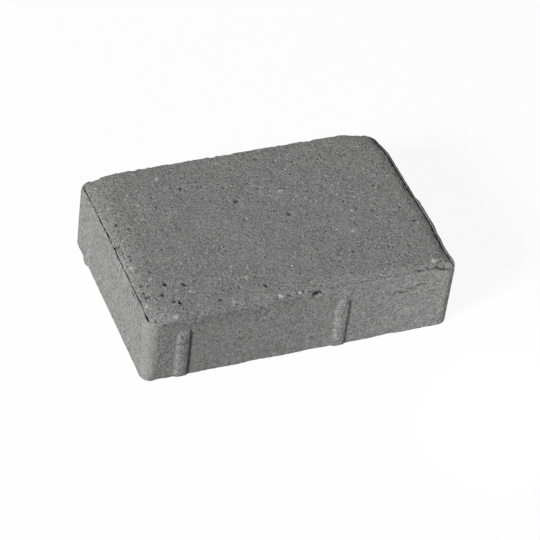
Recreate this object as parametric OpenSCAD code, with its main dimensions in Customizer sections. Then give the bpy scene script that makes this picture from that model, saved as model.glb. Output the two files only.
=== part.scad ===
// Rectangular concrete paving stone, pressed face up in a steel mould.
// Its long side lies along X, its bed face is at z = 0, and the front of the stone faces -Y.
// The pressing shoe leaves a soft shoulder round the walking face, and at the shoulder's
// foot a narrow groove and a rim, where concrete rises past the shoe's edge. The shoe's
// corners are sharper than the mould's, so the rim narrows round the stone's corners.
// Low ribs on the four walls keep laid stones a joint's width apart.

/* [Stone] */
// Length of the stone along X, without its spacer ribs
stone_l = 240; // [180:1:320]
// Width of the stone along Y, without its spacer ribs
stone_w = 160; // [120:1:240]
// Height from the bed face to the walking face
stone_h = 60; // [50:1:100]
// Radius of the four upright corners
corner_r = 9.5; // [8:0.5:16]

/* [Top edge] */
// Width of the moulded edge, from the wall to the flat of the walking face
edge_w = 12; // [11.8:0.1:14]
// Radius of the shoulder's crown, where it leaves the walking face
crown_r = 25.5; // [20:0.5:26.5]
// Radius of the shoulder's outer turn, down into the groove
turn_r = 3; // [2.5:0.5:3.5]
// Drop from the walking face to the floor of the groove
groove_drop = 3.2; // [2.8:0.1:3.4]
// Width of the groove round the corners, and its least width along the walls
groove_w = 0.6; // [0.4:0.1:1]
// Thickness of the rim along the walls
rim_w = 2.1; // [2:0.1:2.6]
// How much smaller the radius of the rim's inner corners is than that of the upright corners
corner_step = 5.7; // [4:0.1:6.2]
// Height of the rim above the groove's floor
rim_h = 1; // [0.4:0.1:1.6]

/* [Spacer ribs] */
// Width of a rib where it meets the wall
rib_w = 10.5; // [6:0.5:14]
// How far a rib stands out from the wall
rib_out = 1.5; // [1:0.1:2.5]
// Height of a rib above the bed face
rib_h = 46.5; // [20:0.5:48]
// From the end of the stone to the middle of the nearer rib on its long wall
long_rib_inset = 28.5; // [20:0.5:34]
// Distance between the two ribs of a long wall
long_rib_pitch = 122; // [60:0.5:130]
// From the long wall to the middle of the rib on the end of the stone
end_rib_inset = 30; // [20:0.5:60]

/* [Hidden] */
$fn = 96;
stone_colour = [0.47, 0.47, 0.47];
groove_z = stone_h - groove_drop;
rim_corner_r = corner_r - corner_step;

// The crown hands over to the outer turn at a slope of 7 in 24, given as its sine and cosine.
// The two arcs share that tangent, so the shoulder runs on without a kink.
hand_over = [7 / 25, 24 / 25];
crown_centre = [edge_w, stone_h - crown_r];
arcs_meet = crown_centre + crown_r * [-hand_over.x, hand_over.y];
turn_centre = arcs_meet - turn_r * [-hand_over.x, hand_over.y];

// A rib is a round post sunk in the wall, with a ball for its top
rib_r = (rib_w * rib_w / 4 + rib_out * rib_out) / (2 * rib_out);
rib_sunk = rib_r - rib_out;
rib_ball_z = rib_h - rib_w / 2;

// The stone's outline moved inwards, with round corners of radius r
module inset_plan(inset, r) {
    l = stone_l - 2 * inset;
    w = stone_w - 2 * inset;
    square([l - 2 * r, w], center = true);
    square([l, w - 2 * r], center = true);
    for (sx = [-1, 1], sy = [-1, 1])
        translate([sx * (l / 2 - r), sy * (w / 2 - r)]) circle(r);
}

// The slice of a disc that lies between two distances from the wall
module disc_slice(centre, r, from, to) {
    intersection() {
        translate(centre) circle(r);
        translate([from, 0]) square([to - from, stone_h]);
    }
}

// Section across the pressed top, with the shoulder at both sides and the bed face at y = 0
module top_section(across) {
    for (side = [0, 1])
        mirror([side, 0]) translate([-across / 2, 0]) {
            disc_slice(turn_centre, turn_r, rim_w, arcs_meet.x);
            disc_slice(crown_centre, crown_r, arcs_meet.x, edge_w);
            translate([edge_w, 0]) square([across / 2 - edge_w, stone_h]);
        }
}

// That section carried straight along X
module top_run(across, length) {
    rotate([90, 0, 90])
        linear_extrude(height = length, center = true) top_section(across);
}

// The top as the shoe presses it: two runs that cross, with the groove round their corners
module pressed_top() {
    intersection() {
        top_run(stone_w, stone_l);
        rotate([0, 0, 90]) top_run(stone_l, stone_w);
        linear_extrude(height = stone_h) inset_plan(rim_w + groove_w, rim_corner_r - groove_w);
    }
}

// The walls up to the rim, hollowed inside the rim down to the groove's floor
module walls_and_rim() {
    difference() {
        linear_extrude(height = groove_z + rim_h) inset_plan(0, corner_r);
        translate([0, 0, groove_z])
            linear_extrude(height = 2 * rim_h) inset_plan(rim_w, rim_corner_r);
    }
}

// One spacer rib on a wall that faces -Y and lies on y = 0
module spacer_rib() {
    translate([0, rib_sunk, 0])
        rotate_extrude() {
            square([rib_r, rib_ball_z]);
            intersection() {
                translate([0, rib_ball_z]) circle(rib_r);
                translate([0, rib_ball_z]) square(rib_r);
            }
        }
}

// The ribs of the front wall and the left end
module front_and_left_ribs() {
    for (along = [long_rib_inset, long_rib_inset + long_rib_pitch])
        translate([along - stone_l / 2, -stone_w / 2, 0]) spacer_rib();
    translate([-stone_l / 2, stone_w / 2 - end_rib_inset, 0]) rotate([0, 0, -90]) spacer_rib();
}

module paving_stone() {
    color(stone_colour) {
        walls_and_rim();
        pressed_top();
        // The stone is the same turned half round, so its back and right end repeat these ribs
        for (turn = [0, 180])
            rotate([0, 0, turn]) front_and_left_ribs();
    }
}

paving_stone();
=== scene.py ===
"""Looks of a concrete paving stone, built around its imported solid."""

import math

import bpy
import numpy as np
from mathutils import Matrix, Vector


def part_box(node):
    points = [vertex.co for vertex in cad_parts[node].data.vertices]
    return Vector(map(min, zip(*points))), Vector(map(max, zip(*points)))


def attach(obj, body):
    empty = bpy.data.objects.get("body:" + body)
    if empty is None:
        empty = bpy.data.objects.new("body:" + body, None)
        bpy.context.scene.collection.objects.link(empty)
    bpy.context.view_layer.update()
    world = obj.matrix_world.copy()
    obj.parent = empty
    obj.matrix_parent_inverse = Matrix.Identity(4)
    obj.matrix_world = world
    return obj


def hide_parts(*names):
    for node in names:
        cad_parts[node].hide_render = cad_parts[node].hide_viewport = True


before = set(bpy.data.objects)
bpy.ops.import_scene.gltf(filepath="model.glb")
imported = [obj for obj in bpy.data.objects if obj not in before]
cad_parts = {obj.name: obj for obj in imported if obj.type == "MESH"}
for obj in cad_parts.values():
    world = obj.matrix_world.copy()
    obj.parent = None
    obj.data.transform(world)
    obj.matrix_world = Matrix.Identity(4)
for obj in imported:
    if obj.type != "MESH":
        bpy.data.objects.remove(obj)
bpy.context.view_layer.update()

# The stone: one block of earth-damp concrete, pressed and shaken in a steel mould and set free at once.
# The mould leaves plain walls with low spacer ribs. The shoe that presses the block leaves a sandy,
# pitted walking face with a soft shoulder, and at the shoulder's foot a fine groove and a worn rim.
MM = 0.001

# Sizes in millimetres, as in the solid, which gives the overall ones
RIB_OUT = 1.5
RIB_W = 10.5
RIB_H = 46.5
LONG_RIB_INSET = 28.5
LONG_RIB_PITCH = 122.0
END_RIB_INSET = 30.0
highest = np.array(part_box("paving_stone")[1]) / MM
HALF_L, HALF_W = highest[:2] - RIB_OUT
TOP_Z = highest[2]
CORNER_R = 9.5
EDGE_W = 12.0
CROWN_R = 25.5
TURN_R = 3.0
GROOVE_DROP = 3.2
GROOVE_W = 0.6
RIM_W = 2.1
RIM_H = 1.0
CORNER_STEP = 5.7
RIM_CORNER_R = CORNER_R - CORNER_STEP
RIM_Z = TOP_Z - (GROOVE_DROP - RIM_H)

# The crown of the shoulder hands over to its outer turn at a slope of 7 in 24, given as sine and cosine,
# and the turn stops just short of upright
HAND_OVER = (7 / 25, 24 / 25)
TURN_STOP = 0.01

# The grid of the walking face: its outer loop lies on the shoulder, RING_IN inside the walls
RING_IN = 5.0
GRID_STEP = 0.92
CORNER_LINES = 8
core = np.array([HALF_L, HALF_W]) - CORNER_R
ring_r = CORNER_R - RING_IN


def grid_lines(half_run):
    """Where grid lines cross an axis: even steps along the straight wall, and past each of its ends
    the lines that cut a round corner at equal angles, sqrt(2) sin(angle) ring radii further out."""
    straight = np.linspace(-half_run, half_run, round(2 * half_run / GRID_STEP) + 1)
    angles = np.linspace(0, math.pi / 4, CORNER_LINES + 1)[1:]
    turns = ring_r * math.sqrt(2) * np.sin(angles)
    return np.concatenate([-half_run - turns[::-1], straight, half_run + turns])


def rounded_plan(flat):
    """Grid points with their outer loop drawn onto the rounded ring: the overshoots a, b of a point past
    the core, in ring radii, become a sqrt(1 - b^2 / 2) and b sqrt(1 - a^2 / 2)."""
    inner = np.clip(flat, -core, core)
    over = (flat - inner) / ring_r
    return inner + ring_r * over * np.sqrt(1 - over[..., ::-1] ** 2 / 2)


def shoulder_drop(inset):
    """How far the pressed top falls at a distance from one wall: a circle that leaves the walking face
    EDGE_W inside the wall, then from the hand-over a smaller circle, down to the groove's floor."""
    sine, cosine = HAND_OVER
    crown = CROWN_R - np.sqrt(CROWN_R**2 - np.clip(EDGE_W - inset, 0, sine * CROWN_R) ** 2)
    past = np.clip(EDGE_W - sine * CROWN_R - inset, 0, TURN_R * (1 - sine) - TURN_STOP)
    turn = TURN_R * cosine - np.sqrt(TURN_R**2 - (past + TURN_R * sine) ** 2)
    return np.minimum(crown + turn, GROOVE_DROP)


def pressed_height(plan):
    """Height of the pressed top: the drops at the nearer end and the nearer long wall, d and e, join
    softly in the corners as the cube root of d^3 + e^3."""
    drops = shoulder_drop(np.array([HALF_L, HALF_W]) - np.abs(plan))
    return TOP_Z - np.cbrt((drops**3).sum(axis=-1))


flat_grid = np.meshgrid(*map(grid_lines, core), indexing="ij")
face_plan = rounded_plan(np.stack(flat_grid, axis=-1))
face_points = np.concatenate([face_plan, pressed_height(face_plan)[..., None]], axis=-1)
face_index = np.arange(face_plan[..., 0].size).reshape(face_plan.shape[:2])

# The grid's outer loop, along the front and then round by the right, the back and the left. Each of its
# points has a column of the band below it, with its own core point and outward normal
loop = np.concatenate([
    face_index[:-1, 0], face_index[-1, :-1], face_index[:0:-1, -1], face_index[0, :0:-1],
])
loop_plan = face_plan.reshape(-1, 2)[loop]
column_core = np.clip(loop_plan, -core, core)
column_out = (loop_plan - column_core) / ring_r
wall_plan = column_core + column_out * CORNER_R


def lattice_noise(points, cell, seed):
    """Smooth noise from -1 to 1: random values on a cubic lattice, blended between the eight corners
    round each point by the smooth step 3 t^2 - 2 t^3."""
    scaled = points / cell
    corner = np.floor(scaled).astype(int)
    part = scaled - corner
    part = part * part * (3 - 2 * part)
    corner -= corner.min(axis=0)
    values = np.random.default_rng(seed).uniform(-1, 1, corner.max(axis=0) + 2)
    total = np.zeros(len(points))
    for step in np.ndindex(2, 2, 2):
        weight = np.prod(np.where(step, part, 1 - part), axis=1)
        total += weight * values[tuple((corner + step).T)]
    return total


def layered_noise(points, layers):
    """The sum of lattice noises, each given by its amount, the size of its cells and its seed."""
    return sum(amount * lattice_noise(points, cell, seed) for amount, cell, seed in layers)


# How deep the groove is open, how level the rim is kept, how far the whole edge is worn, how much of the
# shoulder's outer turn is kept and how far the edge is rubbed round into the wall, from 0 to 1, or more
# where the groove gapes: first along each wall, then in the stretches of it that stand out, from and to a
# place along X or Y
WALL_NORMALS = {"front": (0, -1), "right": (1, 0), "back": (0, 1), "left": (-1, 0)}
EDGE_KEPT = {
    "front": (0.0, 1.0, 0.0, 0.0, 1.0),
    "right": (1.0, 0.8, 0.0, 0.75, 0.0),
    "back": (0.0, 0.3, 1.0, 0.0, 0.0),
    "left": (0.4, 0.6, 0.1, 0.15, 0.0),
}
KEPT_STRETCHES = [
    ("left", -80, -71, 2.8, 0.7, 0.0, 0.15, 0.0),
    ("left", -57, -47, 0.9, 0.6, 0.0, 0.15, 0.0),
    ("left", -35, -28, 0.8, 0.6, 0.0, 0.15, 0.0),
    ("left", -26, -21, 0.8, 0.6, 0.0, 0.15, 0.0),
    ("left", -16, 38, 0.85, 0.6, 0.0, 0.15, 0.0),
    ("left", 60, 80, 1.0, 0.5, 0.0, 0.15, 0.0),
    ("front", -120, -112, 0.5, 0.9, 0.0, 0.2, 0.3),
    ("front", 101, 120, 0.7, 1.0, 0.0, 0.2, 0.0),
    ("back", 84, 120, 0.2, 0.8, 0.5, 0.2, 0.0),
    ("right", -80, -60, 1.0, 0.95, 0.0, 0.6, 0.0),
    ("right", -3, 44, 1.0, 0.73, 0.0, 0.75, 0.0),
]

# Each stretch blends into the next over this many columns to either side
KEPT_BLEND = 4

# Noise that breaks up the groove, the rim and the worn edge, lets the groove wander and chips the edge
GROOVE_BREAKS = [(0.75, 3.0, 11), (0.75, 1.3, 12)]
RIM_BREAKS = [(0.08, 3.0, 13), (0.08, 1.3, 14)]
WORN_BREAKS = [(0.2, 3.0, 17), (0.2, 1.3, 18)]
GROOVE_WANDER = [(0.35, 7.0, 18), (0.25, 2.2, 19)]
EDGE_CHIPS = [(1.0, 9.0, 15), (1.0, 2.6, 16)]

# The wall that each column faces most, and the column's place along it: X in front and at the back, or Y
walls = list(WALL_NORMALS)
facing = column_out @ np.array([WALL_NORMALS[wall] for wall in walls]).T
column_wall = facing.argmax(axis=1)
column_along = np.where(column_wall % 2 == 0, wall_plan[:, 0], wall_plan[:, 1])
kept = np.array([EDGE_KEPT[wall] for wall in walls])[column_wall]
for wall, start, end, *stretch in KEPT_STRETCHES:
    inside = (column_wall == walls.index(wall)) & (column_along >= start) & (column_along <= end)
    kept[inside] = stretch
wrapped = np.concatenate([kept[-KEPT_BLEND:], kept, kept[:KEPT_BLEND]])
kept = np.mean([wrapped[i:i + len(kept)] for i in range(2 * KEPT_BLEND + 1)], axis=0)
rim_path = np.column_stack([wall_plan, np.full(len(wall_plan), RIM_Z)])
groove_open = np.maximum(kept[:, 0] * (1 + layered_noise(rim_path, GROOVE_BREAKS)), 0)
rim_kept = np.clip(kept[:, 1] + layered_noise(rim_path, RIM_BREAKS), 0, 1)
edge_worn = np.clip(kept[:, 2] + layered_noise(rim_path, WORN_BREAKS), 0, 1)
turn_kept, edge_rubbed = kept[:, 3:].T
groove_wander = layered_noise(rim_path, GROOVE_WANDER)
edge_chips = np.maximum(layered_noise(rim_path, EDGE_CHIPS), 0)

# The worn bottom edge: a rounding that varies along the walls, with a few larger chips in the front, each
# given by its place along the wall, its depth and its half width
FOOT_R = 0.9
FOOT_LEAST = 0.3
FOOT_WEAR = [(0.35, 9, 21), (0.3, 2.5, 22)]
FOOT_CHIPS = [(-32, 1.2, 9), (12, 1.0, 6), (69, 1.0, 7), (-108, 0.6, 4)]
TURNED_FRONT = 0.9
foot_path = np.column_stack([wall_plan, np.zeros(len(wall_plan))])
foot = FOOT_R + layered_noise(foot_path, FOOT_WEAR)
in_front = facing[:, walls.index("front")] > TURNED_FRONT
for along, depth, half_width in FOOT_CHIPS:
    beside = (wall_plan[:, 0] - along) / half_width
    foot += depth * np.exp(-beside**2) * in_front
foot = np.maximum(foot, FOOT_LEAST)


def reach_to_rounded(half, radius):
    """How far each column's normal runs from its core point to a line half away along X or Y, whose
    corners are round: half / cos(angle), or past the straight b + sqrt(r^2 - c^2 (cos - sin)^2), with
    c = half - r and b = c (cos + sin)."""
    cosine, sine = np.abs(column_out).T
    middle = half - radius
    across = np.maximum(radius**2 - (middle * (cosine - sine)) ** 2, 0)
    straight = half * np.minimum(cosine, sine) <= middle * np.maximum(cosine, sine)
    return np.where(straight, half / np.maximum(cosine, sine), middle * (cosine + sine) + np.sqrt(across))


# Rows of the band: round the bottom edge, up the wall, over the rim and up the shoulder, where they crowd
# towards the groove by a power
FOOT_ROWS = 5
WALL_ROWS = 34
RIM_ROWS = 7
SHOULDER_ROWS = 10
SHOULDER_CROWDING = 1.5

# The rim: how round it is and by which power, how far its outside is worn down, and its least width
RIM_ROUND = 0.5
RIM_POWER = 6
RIM_WORN = 3.4
RIM_LEAST = 0.3

# The groove: its width where it is shut and what it opens by, in groove widths, and its depth
GROOVE_SHUT = 0.6
GROOVE_OPENS = 0.9
GROOVE_DEPTH = 1.2

# A worn edge: the slope it goes on at, and how far it drops at the wall by itself and in its chips
WORN_SLOPE = 0.28
WORN_DROP = 0.3
WORN_CHIPS = 1.4
WORN_POWER = 4

# A rubbed edge: the width and the slope of its flat rim, and the radius of its turn down the wall
RUBBED_RIM = 2.8
RUBBED_SLOPE = 0.1
RUBBED_R = 0.3


def top_edge():
    """Rows of the rim, the groove and the shoulder, as inset and height: (1 - across^6)^(1/6) over the
    rim, half an ellipse down through the groove, then the shoulder's slope. A worn edge keeps the insets,
    and its height falls from the shoulder at the shoulder's slope and ever faster towards the wall. A
    rubbed edge falls at that slope to a flatter rim without a groove, and turns down the wall in an arc.
    The last row, which the face's own loop already has, is left off."""
    half_turn = np.linspace(0, math.pi, RIM_ROWS)[:, None]
    open_by = GROOVE_W * (GROOVE_SHUT + GROOVE_OPENS * groove_open)
    rim_in = CORNER_R - reach_to_rounded(CORNER_R - RIM_W, RIM_CORNER_R) + groove_wander
    rim_in = np.maximum(rim_in, RIM_LEAST)
    foot_in = rim_in + open_by
    across = -np.cos(half_turn)
    rim_inset = rim_in / 2 * (1 + across)
    rounding = RIM_ROUND * (1 - (1 - across**RIM_POWER) ** (1 / RIM_POWER))
    rounding = rounding * np.where(across > 0, groove_open, 1)
    rim_height = RIM_Z - rounding - RIM_WORN * (1 - rim_kept) * (1 - across) / 2
    groove_inset = rim_in + open_by / 2 * (1 - np.cos(half_turn[1:-1]))
    groove_height = RIM_Z - groove_open * (RIM_ROUND + GROOVE_DEPTH * np.sin(half_turn[1:-1]))
    share = np.linspace(0, 1, SHOULDER_ROWS)[:, None] ** SHOULDER_CROWDING
    shoulder_inset = foot_in + (RING_IN - foot_in) * share
    shoulder_plan = column_core + column_out * (CORNER_R - shoulder_inset)[..., None]
    pressed = pressed_height(shoulder_plan)
    straight = pressed[-1] - WORN_SLOPE * (RING_IN - shoulder_inset)
    shoulder_height = straight + turn_kept * (pressed - straight)
    inset = np.concatenate([rim_inset, groove_inset, shoulder_inset])
    crisp = np.concatenate([rim_height, groove_height, shoulder_height])
    short = (RING_IN - inset) / RING_IN
    sloped = pressed[-1] - WORN_SLOPE * RING_IN * short
    worn = sloped - (WORN_DROP + WORN_CHIPS * edge_chips) * short**WORN_POWER
    level = pressed[-1] - WORN_SLOPE * (RING_IN - RUBBED_RIM) - RUBBED_SLOPE * (RUBBED_RIM - inset)
    turned = RUBBED_R - np.sqrt(RUBBED_R**2 - np.maximum(RUBBED_R - inset, 0) ** 2)
    rubbed = np.maximum(sloped, level) - turned
    height = crisp + edge_worn * (worn - crisp)
    height += edge_rubbed * (rubbed - height)
    return inset[:-1], height[:-1]


# The band from the bed face to the shoulder. A row just under the top edge keeps that edge's turn tight
BED_INSET = 4.5
UNDER_EDGE = 0.35
edge_inset, edge_height = top_edge()
foot_turn = np.linspace(0, math.pi / 2, FOOT_ROWS)[:, None]
wall_share = np.linspace(0, 1, WALL_ROWS + 2)[1:-1, None]
band_inset = np.concatenate([
    np.full((1, len(foot)), BED_INSET),
    foot * (1 - np.sin(foot_turn)),
    np.zeros((WALL_ROWS, len(foot))),
    edge_inset[:1],
    edge_inset,
])
band_height = np.concatenate([
    np.zeros((1, len(foot))),
    foot * (1 - np.cos(foot_turn)),
    foot + wall_share * (edge_height[0] - foot),
    edge_height[:1] - UNDER_EDGE,
    edge_height,
])
groove_row = 1 + FOOT_ROWS + WALL_ROWS + 1 + RIM_ROWS
groove_rows = slice(groove_row, groove_row + RIM_ROWS - 2)

# The ribs: two on the front, one on the left end, and the same turned half round. The flank that left the
# mould last is struck steep, by a power
STRUCK_POWER = 14
STRAIGHT_WALL = 0.999
first_rib = LONG_RIB_INSET - HALF_L
end_rib = HALF_W - END_RIB_INSET
rib_places = {
    "front": [first_rib, first_rib + LONG_RIB_PITCH],
    "right": [-end_rib],
    "back": [-first_rib, -first_rib - LONG_RIB_PITCH],
    "left": [end_rib],
}


def rib_relief(along, height):
    """How far a rib stands out of its wall: RIB_OUT (1 - t^2) at t half widths from its middle, or
    (1 - t^2 / 2) (1 - t^14) on the flank that was struck last, with a round end to its top."""
    above = np.maximum(height - (RIB_H - RIB_W / 2), 0)
    apart = np.hypot(along, above) / (RIB_W / 2)
    struck = (1 - apart**2 / 2) * (1 - apart**STRUCK_POWER)
    return RIB_OUT * np.where(apart < 1, np.where(along > 0, struck, 1 - apart**2), 0)


band_out = np.zeros_like(band_inset)
for wall, places in rib_places.items():
    on_wall = facing[:, walls.index(wall)] > STRAIGHT_WALL
    for place in places:
        band_out += np.where(on_wall, rib_relief(column_along - place, band_height), 0)

# The loop that bounds the bed face lies inside the walls, so no rib moves it
band_out[0] = 0
reach = (CORNER_R - band_inset + band_out)[..., None]
band_points = np.concatenate([column_core + column_out * reach, band_height[..., None]], axis=-1)
points = np.concatenate([face_points.reshape(-1, 3), band_points.reshape(-1, 3)])
band_index = face_index.size + np.arange(band_height.size).reshape(band_height.shape)
rows = np.vstack([band_index, loop])


def quads_of(index, closed):
    """Quads between neighbouring rows and columns of an index grid, round the loop where it is closed."""
    beside = np.roll(index, -1, axis=1)
    if not closed:
        index, beside = index[:, :-1], beside[:, :-1]
    return np.stack([index[:-1], beside[:-1], beside[1:], index[1:]], axis=-1).reshape(-1, 4)


faces = quads_of(face_index.T, False).tolist()
faces += quads_of(rows, True).tolist()
faces.append(band_index[0, ::-1].tolist())
mesh = bpy.data.meshes.new("pressed_stone")
mesh.from_pydata(points * MM, [], faces)
mesh.polygons.foreach_set("use_smooth", np.ones(len(faces), dtype=bool))
mesh.update()


def apart_from_line(points, start, end):
    """Distance of points from the line between two ends: to the nearer end past them, else square on."""
    start, line = np.array(start, float), np.subtract(end, start)
    share = np.clip((points - start) @ line / max(line @ line, 1e-9), 0, 1)
    return np.linalg.norm(points - start - share[:, None] * line, axis=1)


# Places that use has worn off, or that came out fuller than the mould: the ends of a line, how far
# round it the change reaches, and how far it pushes what lies on the line
UNEVEN_PLACES = [
    ((HALF_L, HALF_W, TOP_Z), (HALF_L, HALF_W, TOP_Z), 32, (-2.9, -3.3, -1.8)),
    ((-HALF_L, HALF_W, TOP_Z), (-HALF_L, HALF_W, TOP_Z), 34, (-0.4, -1.5, -2.3)),
    ((HALF_L, -HALF_W + 15, TOP_Z), (HALF_L, -HALF_W + 15, TOP_Z), 18, (-1.4, 0.0, 0.0)),
    ((HALF_L, -HALF_W, TOP_Z), (HALF_L, -HALF_W, TOP_Z), 18, (0.4, 0.0, -1.6)),
    ((HALF_L - 9, -HALF_W, TOP_Z - 2), (HALF_L - 7, -HALF_W, TOP_Z - 2), 11, (0.0, 0.0, -2.0)),
    ((-HALF_L, -HALF_W, 0), (-HALF_L, -HALF_W, 3), 14, (-0.4, -1.1, 0.0)),
    ((-HALF_L, -HALF_W, 20), (-HALF_L, -HALF_W, TOP_Z - 12), 28, (-0.2, 0.7, 0.0)),
    ((-HALF_L, -HALF_W, TOP_Z), (-HALF_L, HALF_W, TOP_Z), 20, (0.0, 0.0, -1.0)),
    ((-HALF_L, -HALF_W, TOP_Z), (-HALF_L, -HALF_W, TOP_Z), 22, (0.0, 0.0, -1.5)),
    ((-HALF_L + 14, -HALF_W, TOP_Z - 2), (-15, -HALF_W, TOP_Z - 2), 13, (0.0, -1.1, 0.0)),
    ((HALF_L, -HALF_W + 25, TOP_Z), (HALF_L, HALF_W, TOP_Z), 22, (-1.15, 0.0, -0.2)),
    ((HALF_L, -34, TOP_Z - 2), (HALF_L, -8, TOP_Z - 2), 9, (1.2, 0.0, 0.2)),
    ((HALF_L, -HALF_W, 0), (HALF_L, -HALF_W, TOP_Z - 10), 13, (0.2, -0.6, 0.0)),
    ((31.5, -HALF_W, RIB_H), (33, -HALF_W, TOP_Z - 7), 6, (0.0, -0.35, 0.0)),
]
for start, end, wear_reach, push in UNEVEN_PLACES:
    apart = apart_from_line(points, start, end) / wear_reach
    points += (np.maximum(1 - apart**2, 0) ** 2)[:, None] * np.array(push)

# Air holes: where in its lattice cell a ball may lie and how large it may be, in cells, and for each sort
# of hole its cell, the share of the cells that have one, and its seed
HOLE_PLACES = (0.2, 0.8)
HOLE_RADII = (0.15, 0.45)
AIR_HOLES = [(3.6, 0.12, 41), (7.5, 0.03, 42)]


def air_holes(points, cell, share, seed):
    """Depth of the air holes that open at the surface: each lattice cell holds a ball at a random place,
    a share of them are holes, and within its radius r a ball takes r (1 - (distance / r)^2) away."""
    scaled = points / cell
    corner = np.floor(scaled).astype(int)
    lowest = corner.min(axis=0) - 1
    size = corner.max(axis=0) - lowest + 2
    draw = np.random.default_rng(seed)
    place = draw.uniform(*HOLE_PLACES, (*size, 3))
    radius = draw.uniform(*HOLE_RADII, size) * (draw.uniform(size=size) < share)
    depth = np.zeros(len(points))
    for step in np.ndindex(3, 3, 3):
        home = corner + step - 1
        cells = tuple((home - lowest).T)
        apart = np.linalg.norm(scaled - home - place[cells], axis=1)
        ball = np.maximum(radius[cells], 1e-6)
        taken = cell * ball * np.maximum(1 - (apart / ball) ** 2, 0)
        depth = np.maximum(depth, taken * (radius[cells] > 0))
    return depth


# Pits, scratches and creases that show one by one: start, end, radius and depth. Their depth also darkens
# the colour, as painted shade in them
shaded_hollows = [
    ((-15.8, 25.2, 60), (-14.9, 25.5, 60), 1.7, 1.3),
    ((17.8, 2.1, 60), (18.6, 2.1, 60), 1.6, 1.5),
    ((-50.9, 48.6, 60), (-50.9, 47.6, 60), 1.6, 1.0),
    ((-46.2, 59.9, 60), (-46, 59.9, 60), 1.2, 0.9),
    ((-101.8, 16.4, 60), (-101.8, 15.6, 60), 1.2, 0.5),
    ((-95.7, -45.2, 60), (-95.4, -46.4, 60), 1.4, 1.6),
    ((-82.7, -48.8, 60), (-82, -50, 60), 1.4, 1.6),
    ((-100.4, -55.2, 60), (-100.4, -56, 60), 1.5, 1.3),
    ((-95.3, -63.9, 60), (-95, -63.9, 60), 1.4, 1.1),
    ((-91.5, -65.8, 60), (-91.3, -66.7, 60), 1.5, 1.6),
    ((-26.4, -64.2, 60), (-25.6, -66.4, 60), 1.3, 1.2),
    ((-62.7, -71, 59.4), (-62.5, -71, 59.4), 1.3, 1.4),
    ((105.5, -27.2, 59.8), (107.8, -27.2, 59.6), 1.2, 1.0),
    ((49, -52, 60), (49.5, -52, 60), 1.2, 0.4),
    ((6.3, -79.5, 57.2), (9.8, -79.4, 57.3), 2.2, 1.8),
    ((-12.2, -77.4, 58), (-11.8, -77.4, 58), 1.4, 1.1),
    ((88.8, -77.2, 58.1), (89.6, -77.2, 58.1), 1.2, 0.9),
    ((71, -80, 41.3), (82, -80, 42.3), 1.0, 0.75),
    ((81, -80, 44.6), (95, -80, 47), 1.0, 0.5),
    ((-94, -81.5, 31), (-89, -81.5, 33.5), 0.9, 0.5),
    ((-86.1, -80, 2), (-86.5, -80, 45), 1.0, 0.37),
    ((35.8, -80, 2), (35.6, -80, 43), 1.0, 0.36),
]

# Crumbs that have broken out along the foot of the front and left shoulders: the least and the most of
# their place along the wall, inset and size, how many there are, their height, and their depth in sizes
FRONT_CRUMBS = ((-100, 2, 0.7), (4, 5, 1.2), 13, 58.2, 0.6)
LEFT_CRUMBS = ((-66, 3, 0.7), (76, 11, 1.3), 24, 59, 0.7)
CRUMB_SEED = 51
crumb_draw = np.random.default_rng(CRUMB_SEED)
least, most, count, crumb_z, deep = FRONT_CRUMBS
for along, inset, size in crumb_draw.uniform(least, most, (count, 3)):
    start = (along, inset - HALF_W, crumb_z)
    end = (along + size, inset - HALF_W, crumb_z)
    shaded_hollows.append((start, end, size, deep * size))
least, most, count, crumb_z, deep = LEFT_CRUMBS
for along, inset, size in crumb_draw.uniform(least, most, (count, 3)):
    start = (inset - HALF_L, along, crumb_z)
    end = (inset - HALF_L, along + size, crumb_z)
    shaded_hollows.append((start, end, size, deep * size))

# Pale stones in the sand that show one by one: place and radius
PALE_STONES = [
    ((102.2, -71.8, 59.8), 2.6),
    ((-99, -78, 58), 2.5),
    ((-19.4, -77.5, 58.3), 2.5),
    ((-4.5, -77.5, 58.1), 1.8),
    ((-54.5, -75.2, 59), 1.8),
    ((-109, 40.8, 59.6), 1.5),
    ((-113.3, -22.6, 58.8), 1.9),
    ((-64.7, 63.1, 60), 1.9),
    ((20.4, 27.8, 60), 2.2),
    ((-80.9, -57.1, 60), 1.6),
    ((56.8, -27.3, 60), 1.6),
    ((-104.3, -38.1, 60), 1.6),
    ((-43.7, -40.5, 60), 1.5),
    ((64.4, -5.9, 60), 1.5),
]

# The upright corner that came out of the mould smooth. Its ground is also painted a little paler there, as
# painted light
SMOOTH_CORNER = ((-HALF_L, -HALF_W, 10), (-HALF_L, -HALF_W, 48))
SMOOTH_REACH = 12


def shaded_hollow(points, start, end, radius, depth):
    """Depth of a pit or scratch: depth (1 - (distance / radius)^2) near the line from start to end. The
    material also darkens by this depth, as painted shade.
    """
    apart = apart_from_line(points, start, end)
    return depth * np.maximum(1 - (apart / radius) ** 2, 0)


def pale_stone(points, place, radius):
    """How pale a stone makes points: 1 out to half its radius, then evenly down to 0 at its radius."""
    apart = np.linalg.norm(points - np.array(place), axis=1)
    return np.clip(2 - 2 * apart / radius, 0, 1)


# The walking face is what looks up: from FACE_FROM on, and fully so FACE_BLEND further
FACE_FROM = 0.1
FACE_BLEND = 0.5
normals = np.empty(points.size)
mesh.vertex_normals.foreach_get("vector", normals)
normals = normals.reshape(-1, 3)
on_face = np.clip((normals[:, 2] - FACE_FROM) / FACE_BLEND, 0, 1)

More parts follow.
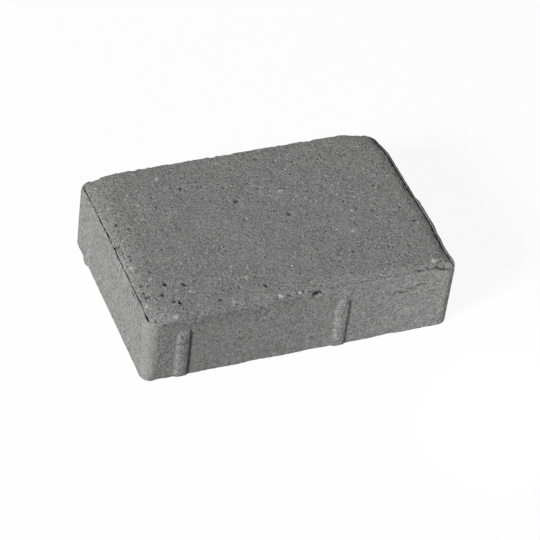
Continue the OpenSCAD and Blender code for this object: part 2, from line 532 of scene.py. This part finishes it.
# Sand grain and air holes, coarse on the walking face and finer on the moulded walls, which show a share
SAND_GRAIN = [(0.06, 3.1, 31), (0.07, 1.7, 32)]
WALL_GRAIN = 0.35
WALL_HOLES = 0.15
HOLE_DEPTH = 0.5
grain = layered_noise(points, SAND_GRAIN)
holes = np.max([air_holes(points, *each) for each in AIR_HOLES], axis=0)
named = np.max([shaded_hollow(points, *each) for each in shaded_hollows], axis=0)
relief = (WALL_GRAIN + (1 - WALL_GRAIN) * on_face) * grain
relief -= (WALL_HOLES + (1 - WALL_HOLES) * on_face) * HOLE_DEPTH * holes
relief -= named
points += relief[:, None] * normals
points[:, 2] = np.maximum(points[:, 2], 0)
mesh.vertices.foreach_set("co", (points * MM).ravel())
mesh.update()

# What the material reads at each point: how far it is walking face, how much painted shade darkens it in a
# hollow or the groove, pale stone or smooth corner
# Painted shade: air holes on the walking face and the open groove are darkened by these shares, the listed
# hollows by their depth
HOLE_SHADE = 0.3
GROOVE_SHADE = 0.6
groove_painted_shade = np.zeros(len(points))
groove_shade_share = np.minimum(GROOVE_SHADE * groove_open, 1)
groove_painted_shade[band_index[groove_rows]] = groove_shade_share * (1 - edge_worn) * (1 - edge_rubbed)
from_corner = apart_from_line(points, *SMOOTH_CORNER) / SMOOTH_REACH
surface = {
    "walking_face": on_face,
    "shaded_hollow": np.clip(HOLE_SHADE * on_face * holes + named + groove_painted_shade, 0, 1),
    "pale_stone": np.max([pale_stone(points, *each) for each in PALE_STONES], axis=0),
    "smooth_corner": np.maximum(1 - from_corner**2, 0),
}
for name, values in surface.items():
    mesh.attributes.new(name, "FLOAT", "POINT").data.foreach_set("value", values.astype(np.float32))

stone = bpy.data.objects.new("pressed_stone", mesh)
bpy.context.collection.objects.link(stone)


class Wire:
    """A value in a material's node tree: arithmetic on wires adds Math nodes, add() any other node."""

    def __init__(self, tree, socket=None):
        self.tree = tree
        self.socket = socket

    def add(self, kind, output, settings, inputs):
        """A new node of a kind, with its settings set first and then its inputs, given as the wire of
        one of its outputs."""
        node = self.tree.nodes.new(kind)
        for name, value in settings.items():
            setattr(node, name, value)
        for name, value in inputs.items():
            if isinstance(value, Wire):
                self.tree.links.new(value.socket, node.inputs[name])
            else:
                node.inputs[name].default_value = value
        return Wire(self.tree, node.outputs[output])

    def math(self, operation, first, second):
        """A Math node on two values, each of them a wire or a number."""
        return self.add("ShaderNodeMath", 0, {"operation": operation}, {0: first, 1: second})

    def __add__(self, other):
        return self.math("ADD", self, other)

    def __sub__(self, other):
        return self.math("SUBTRACT", self, other)

    def __mul__(self, other):
        return self.math("MULTIPLY", self, other)

    def __rsub__(self, other):
        return self.math("SUBTRACT", other, self)

    __radd__ = __add__
    __rmul__ = __mul__


# The concrete's tone runs from dark cement at 0 to pale sand at 1. Its ground and the strength of each
# mark are given on the moulded walls and on the walking face
CEMENT = (0.02, 0.02, 0.0198, 1)
PALE_SAND = (0.55, 0.55, 0.545, 1)
GROUND = (0.385, 0.425)
TONE_MARKS = {
    "specks": (0.2, 0.35),
    "grains": (0.2, 0.2),
    "sand": (0.8, 0.55),
    "clouds": (0.15, 0.15),
    "blotches": (0.5, 0.15),
    "pale_grains": (0.4, 0.4),
    "pale_stones": (0.5, 0.5),
    # Painted shade: the hollows mark darkens pits, crumbs, creases and the groove
    "shaded_hollows": (-0.42, -0.42),
    # Painted shade: the dark grains are fine pits, pressed in by the bump and painted dark
    "shaded_pits": (-0.14, -0.52),
}

# How far the marks stand up or go in, in millimetres, and how coarse the first two are on walls and face
FINE_RISE = 0.65
SAND_RISE = 0.7
PALE_RISE = 0.2
SHADED_PIT_RISE = (-0.15, -0.45)
COARSENESS = (0.7, 1.0)

# What the smooth corner adds to the ground, which is painted light, and what it takes off the marks and the
# coarseness
SMOOTH_PAINTED_LIGHT = 0.01
SMOOTH_MARKS = 0.6
SMOOTH_RELIEF = 0.4

# The finish, dull all over, how rough the noise is, and how much of a spot's radius is its core
ROUGHNESS = 0.92
SPECULAR = 0.25
NOISE_ROUGHNESS = 0.6
SPOT_CORE = 0.4


def pressed_concrete():
    """Grey cement and sand: the ground's tone plus each mark times its strength, with a bump from the
    finer grains. The marks are noise, random cells and round spots in cells of a size in millimetres,
    and what the mesh holds; the hollows and the fine dark pits among them are painted shade."""
    material = bpy.data.materials.new("pressed_concrete")
    material.use_nodes = True
    tree = material.node_tree
    shader = tree.nodes["Principled BSDF"]
    wire = Wire(tree)
    place = wire.add("ShaderNodeTexCoord", "Object", {}, {})

    def noise(cell, detail):
        """Soft noise, from about -0.5 to 0.5."""
        inputs = {"Vector": place, "Scale": 1 / (cell * MM), "Detail": detail, "Roughness": NOISE_ROUGHNESS}
        return wire.add("ShaderNodeTexNoise", "Fac", {}, inputs) - 0.5

    def cells(cell, output):
        """Random cells: the colour that each of them has, or the distance from its middle in cells."""
        inputs = {"Vector": place, "Scale": 1 / (cell * MM), "Randomness": 1.0}
        return wire.add("ShaderNodeTexVoronoi", output, {}, inputs)

    def grains(cell):
        """One random value for each cell, from -0.5 to 0.5."""
        return cells(cell, "Color") - 0.5

    def spots(cell, share, radius):
        """A round spot in a share of the cells: 1 in its core, and smoothly down to 0 at its radius."""
        chosen = wire.math("GREATER_THAN", cells(cell, "Color"), 1 - share)
        fade = {"Value": cells(cell, "Distance"), "From Min": SPOT_CORE * radius, "From Max": radius}
        outside = wire.add("ShaderNodeMapRange", "Result", {"interpolation_type": "SMOOTHSTEP"}, fade)
        return chosen * (1 - outside)

    def attribute(name):
        """What the mesh holds at each point under a name."""
        return wire.add("ShaderNodeAttribute", "Fac", {"attribute_name": name}, {})

    face = attribute("walking_face")
    smooth = attribute("smooth_corner")

    def by_place(on_walls, on_walking_face):
        """A strength that runs from its value on the walls to that on the walking face."""
        if on_walls == on_walking_face:
            return on_walls
        return on_walls + (on_walking_face - on_walls) * face

    marks = {
        "specks": grains(cell=0.7),
        "grains": grains(cell=1.2),
        "sand": noise(cell=1.6, detail=2),
        "clouds": noise(cell=16, detail=3),
        "blotches": noise(cell=3.5, detail=2),
        "pale_grains": spots(cell=2.8, share=0.2, radius=0.42),
        "pale_stones": attribute("pale_stone"),
        # Painted shade in hollows and the groove, as the mesh holds it
        "shaded_hollows": attribute("shaded_hollow"),
        # Fine pits painted dark, as painted shade
        "shaded_pits": spots(cell=2.2, share=0.17, radius=0.4),
    }
    marked = sum(by_place(*TONE_MARKS[name]) * mark for name, mark in marks.items())
    # The smooth corner's lift of the ground is painted light
    tone = by_place(*GROUND) + SMOOTH_PAINTED_LIGHT * smooth + (1 - SMOOTH_MARKS * smooth) * marked
    shade = wire.add(
        "ShaderNodeMix", 2, {"data_type": "RGBA", "clamp_factor": True}, {0: tone, 6: CEMENT, 7: PALE_SAND},
    )
    coarseness = by_place(*COARSENESS) - SMOOTH_RELIEF * smooth
    height = coarseness * (FINE_RISE * noise(cell=0.8, detail=2) + SAND_RISE * marks["sand"])
    height += PALE_RISE * marks["pale_grains"] + by_place(*SHADED_PIT_RISE) * marks["shaded_pits"]
    bumped = wire.add("ShaderNodeBump", "Normal", {}, {"Strength": 1.0, "Distance": MM, "Height": height})
    tree.links.new(shade.socket, shader.inputs["Base Color"])
    tree.links.new(bumped.socket, shader.inputs["Normal"])
    shader.inputs["Roughness"].default_value = ROUGHNESS
    shader.inputs["Specular IOR Level"].default_value = SPECULAR
    return material


mesh.materials.append(pressed_concrete())
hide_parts("paving_stone")
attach(stone, "root")

# The floor: a plain pale sheet, which shows nearly white to the camera and keeps a soft shadow. It
# throws back little of the light that falls on it, as a dull cloth does
FLOOR_HALF = 3.0
FLOOR_PALE = (0.9, 0.9, 0.9, 1)
FLOOR_DULL = (0.2, 0.2, 0.2, 1)
FLOOR_GLOW = 0.93
WHITE = (1, 1, 1, 1)
floor_mesh = bpy.data.meshes.new("white_floor")
floor_corners = [(x * FLOOR_HALF, y * FLOOR_HALF, 0) for x, y in [(-1, -1), (1, -1), (1, 1), (-1, 1)]]
floor_mesh.from_pydata(floor_corners, [], [(0, 1, 2, 3)])
floor = bpy.data.objects.new("white_floor", floor_mesh)
bpy.context.collection.objects.link(floor)
white = bpy.data.materials.new("white_floor")
white.use_nodes = True


def seen_rays(wire):
    """1 for rays from the camera, from gloss and through glass, and 0 for light that spreads."""
    names = ("Is Camera Ray", "Is Glossy Ray", "Is Transmission Ray")
    camera_ray, glossy_ray, glass_ray = [wire.add("ShaderNodeLightPath", name, {}, {}) for name in names]
    return wire.math("MAXIMUM", wire.math("MAXIMUM", camera_ray, glossy_ray), glass_ray)


floor_wire = Wire(white.node_tree)
glow = floor_wire.add("ShaderNodeEmission", 0, {}, {"Color": WHITE, "Strength": 1.0})
seen = seen_rays(floor_wire)
cloth = floor_wire.add("ShaderNodeMix", 2, {"data_type": "RGBA"}, {0: seen, 6: FLOOR_DULL, 7: FLOOR_PALE})
paint = floor_wire.add("ShaderNodeBsdfDiffuse", 0, {}, {"Color": cloth})
mixed = floor_wire.add("ShaderNodeMixShader", 0, {}, {0: FLOOR_GLOW * seen, 1: paint, 2: glow})
white.node_tree.links.new(mixed.socket, white.node_tree.nodes["Material Output"].inputs["Surface"])
floor_mesh.materials.append(white)

# The light: a broad key far off on the left, a low fill from behind, a small lamp close to the front
# right corner, and a faint sky. A lamp has its azimuth and elevation in degrees, its distance and its
# size in metres, and its power in watts
AIM = Vector((0, 0, 0.03))
SKY = 0.03
LAMPS = [
    ("left_key", -65.9, 27, 12.0, 3.2, 2350),
    ("back_fill", 165, 4, 6.0, 1.6, 140),
    ("corner_fill", 34, 3, 0.27, 0.06, 0.115),
]


def facing_axes(azimuth, elevation):
    """Unit vectors to the right, up and back, for something that looks at the stone from an azimuth, 0
    in front and rising towards +X, and an elevation, in degrees."""
    turn, rise = math.radians(azimuth), math.radians(elevation)
    back = Vector((math.sin(turn) * math.cos(rise), -math.cos(turn) * math.cos(rise), math.sin(rise)))
    right = Vector((math.cos(turn), math.sin(turn), 0))
    return right, back.cross(right), back


def stood_at(stand, axes):
    """The matrix of something that stands at a place, with its own X, Y and Z along three axes."""
    return Matrix.Translation(stand) @ Matrix(axes).transposed().to_4x4()


for name, azimuth, elevation, distance, size, power in LAMPS:
    lamp = bpy.data.lights.new(name, "AREA")
    lamp.shape = "DISK"
    lamp.size = size
    lamp.energy = power
    holder = bpy.data.objects.new(name, lamp)
    right, up, back = facing_axes(azimuth, elevation)
    holder.matrix_world = stood_at(AIM + back * distance, (right, up, back))
    holder.visible_camera = False
    bpy.context.collection.objects.link(holder)

world = bpy.data.worlds.new("sky")
world.use_nodes = True
bpy.context.scene.world = world
background = world.node_tree.nodes["Background"]
background.inputs["Color"].default_value = WHITE
strength = SKY + (1 - SKY) * seen_rays(Wire(world.node_tree))
world.node_tree.links.new(strength.socket, background.inputs["Strength"])

# The camera: a long lens that looks down on the front left, turned a little. Its angles are in degrees,
# its distance and shift in metres, and its lens and sensor in millimetres
CAMERA_AZIMUTH = -26.23
CAMERA_ELEVATION = 42.44
CAMERA_ROLL = 7.89
CAMERA_DISTANCE = 1.9444
CAMERA_SHIFT = (0.0047, -0.0148)
LENS = 175.17
SENSOR_W = 36
SIGHT_END = 20
camera_data = bpy.data.cameras.new("camera")
camera_data.lens = LENS
camera_data.sensor_width = SENSOR_W
camera_data.clip_end = SIGHT_END
camera = bpy.data.objects.new("camera", camera_data)
bpy.context.collection.objects.link(camera)
right, up, back = facing_axes(CAMERA_AZIMUTH, CAMERA_ELEVATION)
roll = math.radians(CAMERA_ROLL)
across = right * math.cos(roll) + up * math.sin(roll)
upward = up * math.cos(roll) - right * math.sin(roll)
stand = AIM + back * CAMERA_DISTANCE + across * CAMERA_SHIFT[0] + upward * CAMERA_SHIFT[1]
camera.matrix_world = stood_at(stand, (across, upward, back))
bpy.context.scene.camera = camera
bpy.context.scene.view_settings.view_transform = "Standard"
